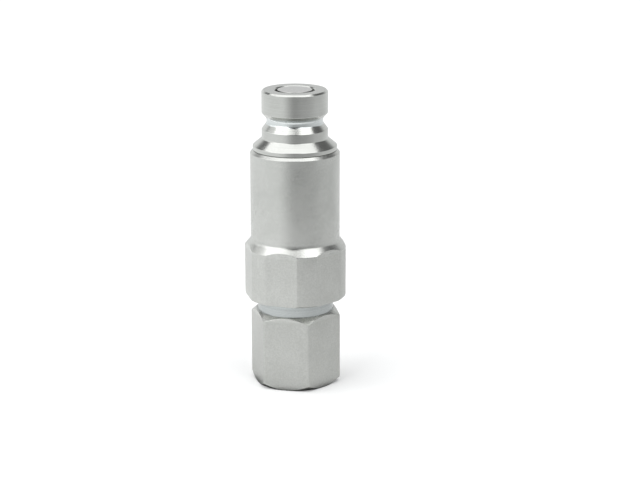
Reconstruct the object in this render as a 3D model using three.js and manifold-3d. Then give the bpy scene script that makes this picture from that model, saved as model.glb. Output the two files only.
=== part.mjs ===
// Flat-face hydraulic quick disconnect coupler, male half (nipple), 1/2 inch body size.
// Millimetres. The base face lies on z = 0 and the coupling nose points along +Z.
import * as THREE from "three";
import { mergeVertices } from "three/addons/utils/BufferGeometryUtils.js";
import Module from "manifold-3d";

const wasm = await Module();
wasm.setup();

// ---------------------------------------------------------------- driving dimensions
const GAP = 0.3; // running or fitting clearance between separate pieces
const MILL_OVERRUN = 1; // how far past a face the milling of a hexagon starts
const OVERALL_LENGTH = 111.9;

const NOSE = {
  radius: 12.25,
  rimChamfer: 0.6,
  mouthChamfer: 0.35,
  headBottomZ: 103.5,
  grooveRadius: 10.4, // floor of the groove for the socket's locking balls
  grooveTopZ: 101.4,
  grooveBottomZ: 99.8,
  collarTopZ: 97.3,
  collarBottomZ: 94,
  flangeRadius: 15.6,
  flangeTopZ: 91.2,
  flangeBottomZ: 89.9,
  spigotBottomZ: 71,
  guideStepZ: 76, // the stem guide stops against this step
  faceBoreRadius: 7.35,
  throatRadius: 8.6,
  throatBottomZ: 98.6,
  chamberRadius: 9.8,
  chamberTopZ: 97,
};

const BARREL = {
  radius: 16.6,
  topZ: 89.5,
  topChamfer: 1,
  shoulderTopZ: 55.8,
  shoulderBottomZ: 52.9,
  bottomZ: 33.6,
  upperBoreRadius: 13.7,
  chamberRadius: 11.5,
  lowerBoreRadius: 13.5,
  seatShoulderZ: 64.2,
  adapterStopZ: 50.5,
};

const UPPER_HEX = { acrossFlats: 36, turnedRadius: 19, bottomChamfer: 0.5, turn: 0 };

const LOWER_HEX = {
  acrossFlats: 30,
  turnedRadius: 17.15,
  baseRadius: 14.9,
  baseCornerZ: 2,
  topCornerZ: 26.3,
  topZ: 28.5,
  turn: THREE.MathUtils.degToRad(3),
};

const ADAPTER = {
  neckRadius: 14.2,
  portRadius: 9.3, // minor radius of the pipe thread
  portMouthRadius: 10.6,
  portDepth: 17,
  flowRadius: 8,
  boreRadius: 9.6,
  boreBottomZ: 31,
  clipGrooveBottomZ: 36.3,
  clipGrooveTopZ: 37.9,
  clipGrooveDepth: 0.8,
  sealGrooveBottomZ: 43.5,
  sealGrooveTopZ: 47.5,
  backupHeight: 1.4,
  threadReliefHeight: 1.8,
};

const SEAL_GROOVE_DEPTH = 2;
const O_RING_SECTION = 0.8; // radius of the three static O-rings' section
const NOSE_SEAL = { grooveBottomZ: 85.2, grooveTopZ: 88.8, backupHeight: 1.1 };

const FRONT_POPPET = {
  headRadius: NOSE.faceBoreRadius - GAP,
  faceRadius: 6.4, // relieved above the sliding land, so the face stands clear of the bore
  landTopZ: OVERALL_LENGTH - 2.3,
  headBottomZ: OVERALL_LENGTH - 5.1,
  grooveRadius: 5.45,
  sealRingRadius: 6.75,
  sealSection: 1,
  flangeRadius: 8.1,
  flangeTopZ: OVERALL_LENGTH - 8.6,
  flangeBottomZ: OVERALL_LENGTH - 10.4,
  pilotLength: 1.6,
  stemRadius: 2.6,
  stemTipZ: 72.5,
};

const STEM_GUIDE = { ringOuter: 11.1, ringInner: 9.3, topZ: 75.7, hubRadius: 4.8, hubTopZ: 83 };

const SEAT = { bottomZ: 64.5, topZ: 70.7, orificeRadius: 6.3, coneRadius: 7.9, coneTopZ: 66 };

const CHECK = {
  noseRadius: 4,
  noseTopZ: 70.2,
  sealLandRadius: 4.7,
  sealLandTopZ: 65.3,
  sealRingRadius: 6.1,
  sealSection: 1.1,
  flangeRadius: 8.4,
  flangeTopZ: 62.8,
  flangeBottomZ: 60.5,
  tailRadius: 3.7,
  tailBottomZ: 33,
  boreRadius: 2.5,
  boreTopZ: 66.5,
  orificeRadius: 1.3,
};

const TAIL_GUIDE = {
  ringOuter: ADAPTER.boreRadius - GAP,
  ringInner: 7.6,
  bottomZ: ADAPTER.boreBottomZ + GAP,
  topZ: 36,
  hubRadius: 5.2,
  hubBottomZ: 29,
  hubTopZ: 40,
};

const PIN = { radius: 1, tipZ: 72.2, flangeRadius: 2.1, flangeTopZ: 64.95, flangeBottomZ: 63.2, tailZ: 57.5 };

const FRONT_SPRING = { coilRadius: 6.2, wireRadius: 0.6, turns: 7, stepsPerTurn: 11, sides: 6 };
const CHECK_SPRING = { coilRadius: 6.2, wireRadius: 0.7, turns: 6.5, stepsPerTurn: 11, sides: 6 };
const RELIEF_SPRING = { coilRadius: 1.7, wireRadius: 0.35, turns: 7, stepsPerTurn: 8, sides: 5 };
const RELIEF_SPRING_BOTTOM_Z = 50;
const SPRING_PILOT_RADIUS = 5.2; // the step on a poppet that centres its spring
const PILOT_CONE_HEIGHT = 0.8;

const OUTER_SEGMENTS = 48;
const INNER_SEGMENTS = 32;
const SEAL_SEGMENTS = 28;
const SEAL_SIDES = 6;
const HOLE_SEGMENTS = 10;

// ---------------------------------------------------------------- finishes
const PLATED_STEEL = { color: 0xb9bcba, roughness: 0.34, metalness: 1 };
const GROUND_STEEL = { color: 0xc6c8c7, roughness: 0.24, metalness: 1 };
const SPRING_STEEL = { color: 0x8d9092, roughness: 0.38, metalness: 1 };
const RUBBER = { color: 0x17181a, roughness: 0.72, metalness: 0 };
const BACKUP_POLYMER = { color: 0xe4e1d6, roughness: 0.55, metalness: 0 };

const part = new THREE.Group();
part.name = "quick_disconnect_coupler";

function addPiece(name, geometry, finish) {
  const mesh = new THREE.Mesh(geometry, new THREE.MeshStandardMaterial(finish));
  mesh.name = name;
  part.add(mesh);
}

// ---------------------------------------------------------------- solid helpers
function signedArea(profile) {
  let area = 0;
  profile.forEach(([r, z], i) => {
    const [nextR, nextZ] = profile[(i + 1) % profile.length];
    area += r * nextZ - nextR * z;
  });
  return area / 2;
}

// Turns a closed outline of [radius, height] corners about the part's axis.
function turned(profile, segments) {
  const outline = signedArea(profile) > 0 ? [...profile] : [...profile].reverse();
  const onAxis = outline.filter(([r]) => r === 0).length > 0;
  if (onAxis) {
    while (!(outline[0][0] === 0 && outline[outline.length - 1][0] === 0)) {
      outline.push(outline.shift());
    }
  } else {
    outline.push(outline[0]);
  }
  const points = outline.map(([r, z]) => new THREE.Vector2(r, z));
  const geometry = new THREE.LatheGeometry(points, segments);
  geometry.rotateX(Math.PI / 2);
  return geometry;
}

function toSolid(geometry) {
  const bare = geometry.clone();
  bare.deleteAttribute("normal");
  bare.deleteAttribute("uv");
  const merged = mergeVertices(bare, 1e-4);
  const index = merged.index.array;
  const triangles = [];
  for (let i = 0; i < index.length; i += 3) {
    const [a, b, c] = [index[i], index[i + 1], index[i + 2]];
    if (a !== b && b !== c && a !== c) {
      triangles.push(a, b, c);
    }
  }
  return new wasm.Manifold(new wasm.Mesh({
    numProp: 3,
    vertProperties: new Float32Array(merged.attributes.position.array),
    triVerts: new Uint32Array(triangles),
  }));
}

function fromSolid(solid) {
  const mesh = solid.getMesh();
  const geometry = new THREE.BufferGeometry();
  geometry.setAttribute("position", new THREE.BufferAttribute(mesh.vertProperties, 3));
  geometry.setIndex(new THREE.BufferAttribute(mesh.triVerts, 1));
  const faceted = geometry.toNonIndexed();
  faceted.computeVertexNormals();
  return faceted;
}

// Hexagonal prism whose first flat faces -Y before the turn about +Z.
function hexPrism(acrossFlats, bottomZ, topZ, turn) {
  const height = topZ - bottomZ;
  const cornerRadius = acrossFlats / 2 / Math.cos(Math.PI / 6);
  const geometry = new THREE.CylinderGeometry(cornerRadius, cornerRadius, height, 6);
  geometry.rotateX(Math.PI / 2);
  geometry.rotateZ(Math.PI / 6 + turn);
  geometry.translate(0, 0, bottomZ + height / 2);
  return toSolid(geometry);
}

// Material outside the hexagon that a mill takes off between two heights.
function outsideHex({ acrossFlats, turnedRadius, turn }, bottomZ, topZ) {
  const margin = 1;
  const sleeve = flatRing(
    acrossFlats / 2 - margin,
    turnedRadius + margin,
    bottomZ,
    topZ,
    OUTER_SEGMENTS,
  );
  const prism = hexPrism(acrossFlats, bottomZ - margin, topZ + margin, turn);
  return toSolid(sleeve).subtract(prism);
}

function box(width, depth, height, x, y, z) {
  const geometry = new THREE.BoxGeometry(width, depth, height);
  geometry.translate(x, y, z);
  return geometry;
}

// Round-section ring, such as an O-ring.
function roundRing(ringRadius, sectionRadius, z, segments) {
  const profile = [];
  for (let i = 0; i < SEAL_SIDES; i += 1) {
    const angle = (i / SEAL_SIDES) * 2 * Math.PI;
    profile.push([
      ringRadius + sectionRadius * Math.cos(angle),
      z + sectionRadius * Math.sin(angle),
    ]);
  }
  return turned(profile, segments);
}

function flatRing(innerRadius, outerRadius, bottomZ, topZ, segments) {
  return turned([
    [innerRadius, bottomZ],
    [outerRadius, bottomZ],
    [outerRadius, topZ],
    [innerRadius, topZ],
  ], segments);
}

// Centre line of a compression spring: a closed turn at each end, open turns between.
class SpringLine extends THREE.Curve {
  constructor({ coilRadius, wireRadius, turns }, bottomZ, topZ) {
    super();
    const coilGap = 0.15;
    this.coilRadius = coilRadius;
    this.closedPitch = 2 * wireRadius + coilGap;
    this.bottomZ = bottomZ + wireRadius;
    this.topZ = topZ - wireRadius;
    this.turns = turns;
  }

  getPoint(t, target = new THREE.Vector3()) {
    const turn = t * this.turns;
    const openTurns = this.turns - 2;
    const openPitch = (this.topZ - this.bottomZ - 2 * this.closedPitch) / openTurns;
    const closedBelow = Math.min(turn, 1) * this.closedPitch;
    const open = Math.min(Math.max(turn - 1, 0), openTurns) * openPitch;
    const closedAbove = Math.max(turn - 1 - openTurns, 0) * this.closedPitch;
    const angle = turn * 2 * Math.PI;
    return target.set(
      this.coilRadius * Math.cos(angle),
      this.coilRadius * Math.sin(angle),
      this.bottomZ + closedBelow + open + closedAbove,
    );
  }
}

function spring(wire, bottomZ, topZ) {
  const { wireRadius, turns, stepsPerTurn, sides } = wire;
  const section = new THREE.Shape();
  for (let i = 0; i < sides; i += 1) {
    const angle = (i / sides) * 2 * Math.PI;
    const [x, y] = [wireRadius * Math.cos(angle), wireRadius * Math.sin(angle)];
    if (i === 0) {
      section.moveTo(x, y);
    } else {
      section.lineTo(x, y);
    }
  }
  section.closePath();
  return new THREE.ExtrudeGeometry(section, {
    steps: Math.round(turns * stepsPerTurn),
    bevelEnabled: false,
    extrudePath: new SpringLine(wire, bottomZ, topZ),
  });
}

// Spider: a hub on thin webs inside a ring, so oil passes between the webs.
function spider({ hubBore, hubRadius, hubBottomZ, hubTopZ, ringInner, ringOuter, bottomZ, topZ, webs }) {
  const webWidth = 2;
  const reach = (ringInner + ringOuter) / 2;
  const height = topZ - bottomZ;
  const margin = 1;
  const below = hubBottomZ - margin;
  const above = hubTopZ + margin;
  let solid = toSolid(flatRing(ringInner, ringOuter, bottomZ, topZ, INNER_SEGMENTS));
  for (let i = 0; i < webs; i += 1) {
    const web = box(reach, webWidth, height, reach / 2, 0, bottomZ + height / 2);
    web.rotateZ((i / webs) * 2 * Math.PI);
    solid = solid.add(toSolid(web));
  }
  const hub = turned([
    [0, hubBottomZ],
    [hubRadius, hubBottomZ],
    [hubRadius, hubTopZ],
    [0, hubTopZ],
  ], INNER_SEGMENTS);
  const bore = turned([
    [0, below],
    [hubBore, below],
    [hubBore, above],
    [0, above],
  ], INNER_SEGMENTS);
  return fromSolid(solid.add(toSolid(hub)).subtract(toSolid(bore)));
}

// ---------------------------------------------------------------- housing
// Nose with the flat mating face, the ball-lock groove and a spigot into the barrel.
function noseBody() {
  const spigotRadius = BARREL.upperBoreRadius - GAP;
  const wallInside = spigotRadius - SEAL_GROOVE_DEPTH;
  const seatConeHeight = 1.4;
  const seatDrop = 0.1;
  const seatTopZ = FRONT_POPPET.headBottomZ - seatDrop;
  const flangeEdge = 0.4;
  return turned([
    [NOSE.faceBoreRadius, OVERALL_LENGTH - NOSE.mouthChamfer],
    [NOSE.faceBoreRadius + NOSE.mouthChamfer, OVERALL_LENGTH],
    [NOSE.radius - NOSE.rimChamfer, OVERALL_LENGTH],
    [NOSE.radius, OVERALL_LENGTH - NOSE.rimChamfer],
    [NOSE.radius, NOSE.headBottomZ],
    [NOSE.grooveRadius, NOSE.grooveTopZ],
    [NOSE.grooveRadius, NOSE.grooveBottomZ],
    [NOSE.radius, NOSE.collarTopZ],
    [NOSE.radius, NOSE.collarBottomZ],
    [NOSE.flangeRadius, NOSE.flangeTopZ],
    [NOSE.flangeRadius, NOSE.flangeBottomZ + flangeEdge],
    [NOSE.flangeRadius - flangeEdge, NOSE.flangeBottomZ],
    [spigotRadius, NOSE.flangeBottomZ],
    [spigotRadius, NOSE_SEAL.grooveTopZ],
    [wallInside, NOSE_SEAL.grooveTopZ],
    [wallInside, NOSE_SEAL.grooveBottomZ],
    [spigotRadius, NOSE_SEAL.grooveBottomZ],
    [spigotRadius, NOSE.spigotBottomZ + GAP],
    [spigotRadius - GAP, NOSE.spigotBottomZ],
    [wallInside, NOSE.spigotBottomZ],
    [wallInside, NOSE.guideStepZ],
    [NOSE.chamberRadius, NOSE.guideStepZ],
    [NOSE.chamberRadius, NOSE.chamberTopZ],
    [NOSE.throatRadius, NOSE.throatBottomZ],
    [NOSE.throatRadius, seatTopZ - seatConeHeight],
    [NOSE.faceBoreRadius, seatTopZ],
  ], OUTER_SEGMENTS);
}

// Barrel with the larger hexagon at its lower end.
function barrelBody() {
  const rim = UPPER_HEX.bottomChamfer;
  const stock = turned([
    [BARREL.upperBoreRadius, BARREL.topZ],
    [BARREL.radius - BARREL.topChamfer, BARREL.topZ],
    [BARREL.radius, BARREL.topZ - BARREL.topChamfer],
    [BARREL.radius, BARREL.shoulderTopZ],
    [UPPER_HEX.turnedRadius, BARREL.shoulderBottomZ],
    [UPPER_HEX.turnedRadius, BARREL.bottomZ + rim],
    [UPPER_HEX.turnedRadius - rim, BARREL.bottomZ],
    [BARREL.lowerBoreRadius, BARREL.bottomZ],
    [BARREL.lowerBoreRadius, BARREL.adapterStopZ],
    [BARREL.chamberRadius, BARREL.adapterStopZ],
    [BARREL.chamberRadius, BARREL.seatShoulderZ],
    [BARREL.upperBoreRadius, BARREL.seatShoulderZ],
  ], OUTER_SEGMENTS);
  const milled = outsideHex(UPPER_HEX, BARREL.bottomZ - MILL_OVERRUN, BARREL.shoulderTopZ);
  return fromSolid(toSolid(stock).subtract(milled));
}

// End adapter: pipe port, smaller hexagon, round neck and a spigot up into the barrel.
function endAdapter() {
  const spigotRadius = BARREL.lowerBoreRadius - GAP;
  const spigotBottomZ = BARREL.bottomZ - GAP;
  const spigotTopZ = BARREL.adapterStopZ - GAP;
  const sealGrooveRadius = spigotRadius - SEAL_GROOVE_DEPTH;
  const clipGrooveRadius = ADAPTER.boreRadius + ADAPTER.clipGrooveDepth;
  const edge = 0.5;
  const runOut = 2;
  const stock = turned([
    [ADAPTER.portMouthRadius, 0],
    [LOWER_HEX.baseRadius, 0],
    [LOWER_HEX.turnedRadius, LOWER_HEX.baseCornerZ],
    [LOWER_HEX.turnedRadius, LOWER_HEX.topCornerZ],
    [ADAPTER.neckRadius + edge, LOWER_HEX.topZ],
    [ADAPTER.neckRadius, LOWER_HEX.topZ],
    [ADAPTER.neckRadius, spigotBottomZ],
    [spigotRadius - edge, spigotBottomZ],
    [spigotRadius - edge, spigotBottomZ + ADAPTER.threadReliefHeight],
    [spigotRadius, spigotBottomZ + ADAPTER.threadReliefHeight + edge],
    [spigotRadius, ADAPTER.sealGrooveBottomZ],
    [sealGrooveRadius, ADAPTER.sealGrooveBottomZ],
    [sealGrooveRadius, ADAPTER.sealGrooveTopZ],
    [spigotRadius, ADAPTER.sealGrooveTopZ],
    [spigotRadius, spigotTopZ - edge],
    [spigotRadius - edge, spigotTopZ],
    [ADAPTER.boreRadius, spigotTopZ],
    [ADAPTER.boreRadius, ADAPTER.clipGrooveTopZ],
    [clipGrooveRadius, ADAPTER.clipGrooveTopZ],
    [clipGrooveRadius, ADAPTER.clipGrooveBottomZ],
    [ADAPTER.boreRadius, ADAPTER.clipGrooveBottomZ],
    [ADAPTER.boreRadius, ADAPTER.boreBottomZ],
    [ADAPTER.flowRadius, ADAPTER.boreBottomZ],
    [ADAPTER.flowRadius, ADAPTER.portDepth + edge],
    [ADAPTER.portMouthRadius, ADAPTER.portDepth],
    [ADAPTER.portMouthRadius, ADAPTER.portDepth - runOut],
    [ADAPTER.portRadius, ADAPTER.portDepth - runOut - edge],
    [ADAPTER.portRadius, ADAPTER.portMouthRadius - ADAPTER.portRadius],
  ], OUTER_SEGMENTS);
  const milled = outsideHex(LOWER_HEX, -MILL_OVERRUN, LOWER_HEX.topZ + edge);
  return fromSolid(toSolid(stock).subtract(milled));
}

// ---------------------------------------------------------------- static seals
// O-ring in a groove that starts at grooveInner, lying against the groove's upper wall.
function staticSeal(grooveInner, grooveTopZ) {
  const ringRadius = grooveInner + GAP + O_RING_SECTION;
  return roundRing(ringRadius, O_RING_SECTION, grooveTopZ - GAP - O_RING_SECTION, SEAL_SEGMENTS);
}

// Flat ring under an O-ring that stops it being pushed into the clearance.
function backupRing(grooveInner, grooveBottomZ, height) {
  const width = 1.5;
  const inner = grooveInner + GAP;
  const bottomZ = grooveBottomZ + GAP;
  return flatRing(inner, inner + width, bottomZ, bottomZ + height, SEAL_SEGMENTS);
}

// ---------------------------------------------------------------- front valve
function frontPoppet() {
  const tipEdge = 0.4;
  const landEdge = 0.3;
  const pilotBottomZ = FRONT_POPPET.flangeBottomZ - FRONT_POPPET.pilotLength;
  const stemTopZ = pilotBottomZ - PILOT_CONE_HEIGHT;
  return turned([
    [0, OVERALL_LENGTH],
    [FRONT_POPPET.faceRadius, OVERALL_LENGTH],
    [FRONT_POPPET.faceRadius, FRONT_POPPET.landTopZ + landEdge],
    [FRONT_POPPET.headRadius, FRONT_POPPET.landTopZ],
    [FRONT_POPPET.headRadius, FRONT_POPPET.headBottomZ],
    [FRONT_POPPET.grooveRadius, FRONT_POPPET.headBottomZ],
    [FRONT_POPPET.grooveRadius, FRONT_POPPET.flangeTopZ],
    [FRONT_POPPET.flangeRadius, FRONT_POPPET.flangeTopZ],
    [FRONT_POPPET.flangeRadius, FRONT_POPPET.flangeBottomZ],
    [SPRING_PILOT_RADIUS, FRONT_POPPET.flangeBottomZ],
    [SPRING_PILOT_RADIUS, pilotBottomZ],
    [FRONT_POPPET.stemRadius, stemTopZ],
    [FRONT_POPPET.stemRadius, FRONT_POPPET.stemTipZ + tipEdge],
    [FRONT_POPPET.stemRadius - tipEdge, FRONT_POPPET.stemTipZ],
    [0, FRONT_POPPET.stemTipZ],
  ], INNER_SEGMENTS);
}

function frontPoppetSeal() {
  const topZ = FRONT_POPPET.headBottomZ - GAP;
  const { sealRingRadius, sealSection } = FRONT_POPPET;
  return roundRing(sealRingRadius, sealSection, topZ - sealSection, SEAL_SEGMENTS);
}

function frontSealBackupRing() {
  const bottomZ = FRONT_POPPET.flangeTopZ + GAP;
  const recess = 0.5;
  const outer = FRONT_POPPET.flangeRadius - recess;
  const thickness = 0.6;
  return flatRing(FRONT_POPPET.grooveRadius + GAP, outer, bottomZ, bottomZ + thickness, SEAL_SEGMENTS);
}

function frontSpring() {
  return spring(FRONT_SPRING, STEM_GUIDE.topZ + GAP, FRONT_POPPET.flangeBottomZ - GAP);
}

function frontGuide() {
  return spider({
    hubBore: FRONT_POPPET.stemRadius + GAP,
    hubRadius: STEM_GUIDE.hubRadius,
    hubBottomZ: NOSE.spigotBottomZ,
    hubTopZ: STEM_GUIDE.hubTopZ,
    ringInner: STEM_GUIDE.ringInner,
    ringOuter: STEM_GUIDE.ringOuter,
    bottomZ: NOSE.spigotBottomZ,
    topZ: STEM_GUIDE.topZ,
    webs: 4,
  });
}

// ---------------------------------------------------------------- check valve
const SEAT_OUTER_RADIUS = BARREL.upperBoreRadius - GAP;
const SEAT_GROOVE = { bottomZ: 66.3, topZ: 68.9, radius: SEAT_OUTER_RADIUS - SEAL_GROOVE_DEPTH };

function valveSeatRing() {
  const leadIn = 2;
  return turned([
    [SEAT.orificeRadius, SEAT.coneTopZ],
    [SEAT.coneRadius, SEAT.bottomZ],
    [SEAT_OUTER_RADIUS, SEAT.bottomZ],
    [SEAT_OUTER_RADIUS, SEAT_GROOVE.bottomZ],
    [SEAT_GROOVE.radius, SEAT_GROOVE.bottomZ],
    [SEAT_GROOVE.radius, SEAT_GROOVE.topZ],
    [SEAT_OUTER_RADIUS, SEAT_GROOVE.topZ],
    [SEAT_OUTER_RADIUS, SEAT.topZ],
    [SEAT.orificeRadius + leadIn, SEAT.topZ],
    [SEAT.orificeRadius, SEAT.topZ - leadIn],
  ], OUTER_SEGMENTS);
}

function checkPoppet() {
  const pilotLength = 1.1;
  const pilotBottomZ = CHECK.flangeBottomZ - pilotLength;
  const edge = 0.5;
  return turned([
    [CHECK.orificeRadius, CHECK.noseTopZ],
    [CHECK.noseRadius - edge, CHECK.noseTopZ],
    [CHECK.noseRadius, CHECK.noseTopZ - edge],
    [CHECK.noseRadius, CHECK.sealLandTopZ],
    [CHECK.sealLandRadius, CHECK.sealLandTopZ],
    [CHECK.sealLandRadius, CHECK.flangeTopZ],
    [CHECK.flangeRadius, CHECK.flangeTopZ],
    [CHECK.flangeRadius, CHECK.flangeBottomZ + 2 * edge],
    [CHECK.flangeRadius - 2 * edge, CHECK.flangeBottomZ],
    [SPRING_PILOT_RADIUS, CHECK.flangeBottomZ],
    [SPRING_PILOT_RADIUS, pilotBottomZ],
    [CHECK.tailRadius, pilotBottomZ - PILOT_CONE_HEIGHT],
    [CHECK.tailRadius, CHECK.tailBottomZ],
    [CHECK.boreRadius, CHECK.tailBottomZ],
    [CHECK.boreRadius, CHECK.boreTopZ],
    [CHECK.orificeRadius, CHECK.boreTopZ],
  ], INNER_SEGMENTS);
}

function checkPoppetSeal() {
  const middleZ = CHECK.flangeTopZ + GAP + CHECK.sealSection;
  return roundRing(CHECK.sealRingRadius, CHECK.sealSection, middleZ, SEAL_SEGMENTS);
}

function checkSealRetainer() {
  const bottomZ = CHECK.sealLandTopZ + GAP;
  const clearance = 0.4;
  const thickness = 1.2;
  const outer = SEAT.orificeRadius - clearance;
  return flatRing(CHECK.noseRadius + GAP, outer, bottomZ, bottomZ + thickness, SEAL_SEGMENTS);
}

function checkSpring() {
  return spring(CHECK_SPRING, TAIL_GUIDE.topZ + GAP, CHECK.flangeBottomZ - GAP);
}

function rearGuide() {
  return spider({ ...TAIL_GUIDE, hubBore: CHECK.tailRadius + GAP, webs: 3 });
}

// Split internal ring with two drilled lugs for circlip pliers.
function retainingRing() {
  const bottomZ = ADAPTER.clipGrooveBottomZ + GAP;
  const height = 1;
  const middleZ = bottomZ + height / 2;
  const inner = 8.9;
  const outer = ADAPTER.boreRadius + ADAPTER.clipGrooveDepth - GAP;
  const mouth = 5;
  const lugSize = 1.9;
  const lugInset = 0.5;
  const lugX = inner - lugInset;
  const holeRadius = 0.45;
  let solid = toSolid(flatRing(inner, outer, bottomZ, bottomZ + height, INNER_SEGMENTS));
  solid = solid.subtract(toSolid(box(mouth, mouth, 2 * height, outer, 0, middleZ)));
  for (const side of [-1, 1]) {
    const lugY = side * (mouth + lugSize) / 2;
    const hole = new THREE.CylinderGeometry(holeRadius, holeRadius, 2 * height, HOLE_SEGMENTS);
    hole.rotateX(Math.PI / 2);
    hole.translate(lugX, lugY, middleZ);
    solid = solid.add(toSolid(box(lugSize, lugSize, height, lugX, lugY, middleZ)));
    solid = solid.subtract(toSolid(hole));
  }
  return fromSolid(solid);
}

// ---------------------------------------------------------------- relief valve
function reliefPin() {
  const edge = 0.3;
  return turned([
    [0, PIN.tipZ],
    [PIN.radius - edge, PIN.tipZ],
    [PIN.radius, PIN.tipZ - edge],
    [PIN.radius, PIN.flangeTopZ],
    [PIN.flangeRadius, PIN.flangeTopZ],
    [PIN.flangeRadius, PIN.flangeBottomZ],
    [PIN.radius, PIN.flangeBottomZ],
    [PIN.radius, PIN.tailZ],
    [0, PIN.tailZ],
  ], SEAL_SEGMENTS);
}

function reliefPinSeal() {
  const section = 0.45;
  const ringRadius = PIN.radius + GAP + section;
  return roundRing(ringRadius, section, PIN.flangeTopZ + GAP + section, SEAL_SEGMENTS);
}

function reliefSpring() {
  return spring(RELIEF_SPRING, RELIEF_SPRING_BOTTOM_Z, PIN.flangeBottomZ - GAP);
}

function reliefSpringRetainer() {
  const topZ = RELIEF_SPRING_BOTTOM_Z - GAP;
  const thickness = 3.2;
  const ventRadius = 0.9;
  return flatRing(ventRadius, CHECK.boreRadius - GAP, topZ - thickness, topZ, SEAL_SEGMENTS);
}

// ---------------------------------------------------------------- the pieces
const NOSE_GROOVE_RADIUS = SEAT_OUTER_RADIUS - SEAL_GROOVE_DEPTH;
const ADAPTER_GROOVE_RADIUS = BARREL.lowerBoreRadius - GAP - SEAL_GROOVE_DEPTH;

addPiece("nose_body", noseBody(), PLATED_STEEL);
addPiece("barrel_body", barrelBody(), PLATED_STEEL);
addPiece("end_adapter", endAdapter(), PLATED_STEEL);
addPiece("nose_o_ring", staticSeal(NOSE_GROOVE_RADIUS, NOSE_SEAL.grooveTopZ), RUBBER);
addPiece(
  "nose_backup_ring",
  backupRing(NOSE_GROOVE_RADIUS, NOSE_SEAL.grooveBottomZ, NOSE_SEAL.backupHeight),
  BACKUP_POLYMER,
);
addPiece("adapter_o_ring", staticSeal(ADAPTER_GROOVE_RADIUS, ADAPTER.sealGrooveTopZ), RUBBER);
addPiece(
  "adapter_backup_ring",
  backupRing(ADAPTER_GROOVE_RADIUS, ADAPTER.sealGrooveBottomZ, ADAPTER.backupHeight),
  BACKUP_POLYMER,
);

addPiece("front_poppet", frontPoppet(), GROUND_STEEL);
addPiece("front_poppet_seal", frontPoppetSeal(), RUBBER);
addPiece("front_seal_backup_ring", frontSealBackupRing(), BACKUP_POLYMER);
addPiece("front_spring", frontSpring(), SPRING_STEEL);
addPiece("front_guide", frontGuide(), GROUND_STEEL);

addPiece("valve_seat_ring", valveSeatRing(), GROUND_STEEL);
addPiece("seat_ring_o_ring", staticSeal(SEAT_GROOVE.radius, SEAT_GROOVE.topZ), RUBBER);
addPiece("check_poppet", checkPoppet(), GROUND_STEEL);
addPiece("check_poppet_seal", checkPoppetSeal(), RUBBER);
addPiece("check_seal_retainer", checkSealRetainer(), GROUND_STEEL);
addPiece("check_spring", checkSpring(), SPRING_STEEL);
addPiece("rear_guide", rearGuide(), GROUND_STEEL);
addPiece("retaining_ring", retainingRing(), SPRING_STEEL);

addPiece("relief_pin", reliefPin(), GROUND_STEEL);
addPiece("relief_pin_seal", reliefPinSeal(), RUBBER);
addPiece("relief_spring", reliefSpring(), SPRING_STEEL);
addPiece("relief_spring_retainer", reliefSpringRetainer(), GROUND_STEEL);

export default part;
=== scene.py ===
import math

import bmesh
import bpy
from mathutils import Matrix, Vector


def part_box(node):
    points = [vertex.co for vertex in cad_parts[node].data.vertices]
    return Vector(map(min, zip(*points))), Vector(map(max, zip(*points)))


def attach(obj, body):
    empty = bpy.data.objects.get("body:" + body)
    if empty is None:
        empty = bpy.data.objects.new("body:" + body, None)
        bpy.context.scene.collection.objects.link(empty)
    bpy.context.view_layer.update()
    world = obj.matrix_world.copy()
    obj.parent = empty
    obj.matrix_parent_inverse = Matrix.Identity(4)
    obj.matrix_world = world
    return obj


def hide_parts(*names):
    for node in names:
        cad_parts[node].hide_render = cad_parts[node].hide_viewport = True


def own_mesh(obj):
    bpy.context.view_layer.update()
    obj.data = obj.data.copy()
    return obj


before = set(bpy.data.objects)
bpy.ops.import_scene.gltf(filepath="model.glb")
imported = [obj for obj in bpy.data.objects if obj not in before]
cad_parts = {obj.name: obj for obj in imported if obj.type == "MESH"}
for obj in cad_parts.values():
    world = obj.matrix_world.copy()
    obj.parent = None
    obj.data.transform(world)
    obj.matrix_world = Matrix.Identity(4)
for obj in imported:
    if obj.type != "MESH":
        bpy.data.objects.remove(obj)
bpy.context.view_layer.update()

MM = 0.001
TAU = 2 * math.pi


def ends(node):
    """Heights of a CAD node's bottom and top."""
    low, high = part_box(node)
    return round(low.z / MM, 3), round(high.z / MM, 3)


def outer_radius(node):
    """Radius of a round CAD node."""
    return round(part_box(node)[1].x / MM, 3)


# ---------------------------------------------------------------- sizes shared by several pieces
CLEARANCE = 0.3
SEAL_GROOVE_DEPTH = 2
NOSE_BORE_R = 7.35
BARREL_BORE_R = 13.7
INSERT_R = BARREL_BORE_R - CLEARANCE
ADAPTER_BORE_R = 13.5
UPPER_HEX_HALF = round(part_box("barrel_body")[1].y / MM, 3)
UPPER_HEX_R = outer_radius("barrel_body")
LOWER_HEX_HALF = 15
LOWER_HEX_R = 17.15
LOWER_HEX_TURN = math.radians(3)
LOWER_HEX_TOP = 28.5
FLAT_ZERO = -math.pi / 2  # angle of the middle of a hexagon's first flat

# ---------------------------------------------------------------- camera, floor and light
# Distances of the camera and the lamps, and lamp sizes, are in metres. The camera's azimuth is in degrees
# from -Y. Those of the tent and the lamps are in degrees from the camera, positive to its right.
CAMERA_AZIMUTH, CAMERA_ELEVATION = 16, 15.4
CAMERA_DISTANCE = 0.7
CAMERA_LENS = 105.1
AIM_RIGHT, AIM_HEIGHT = 0.00927, 0.05461

FLOOR_R = 270
FLOOR_FADE = (150, 260)
FLOOR_HALF_WIDTH = 120
# Painted shade in the floor that the metal sees: lighter on the camera's left, darker on its right.
FLOOR_LEFT, FLOOR_MIDDLE, FLOOR_RIGHT = 0.98, 0.93, 0.72
# Painted shadow round the coupler's base, in the floor that the metal sees: its darkest level and the radii
# over which it fades.
CONTACT_SHADE, CONTACT_EDGE = 0.12, (15.5, 19.5)

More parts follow.
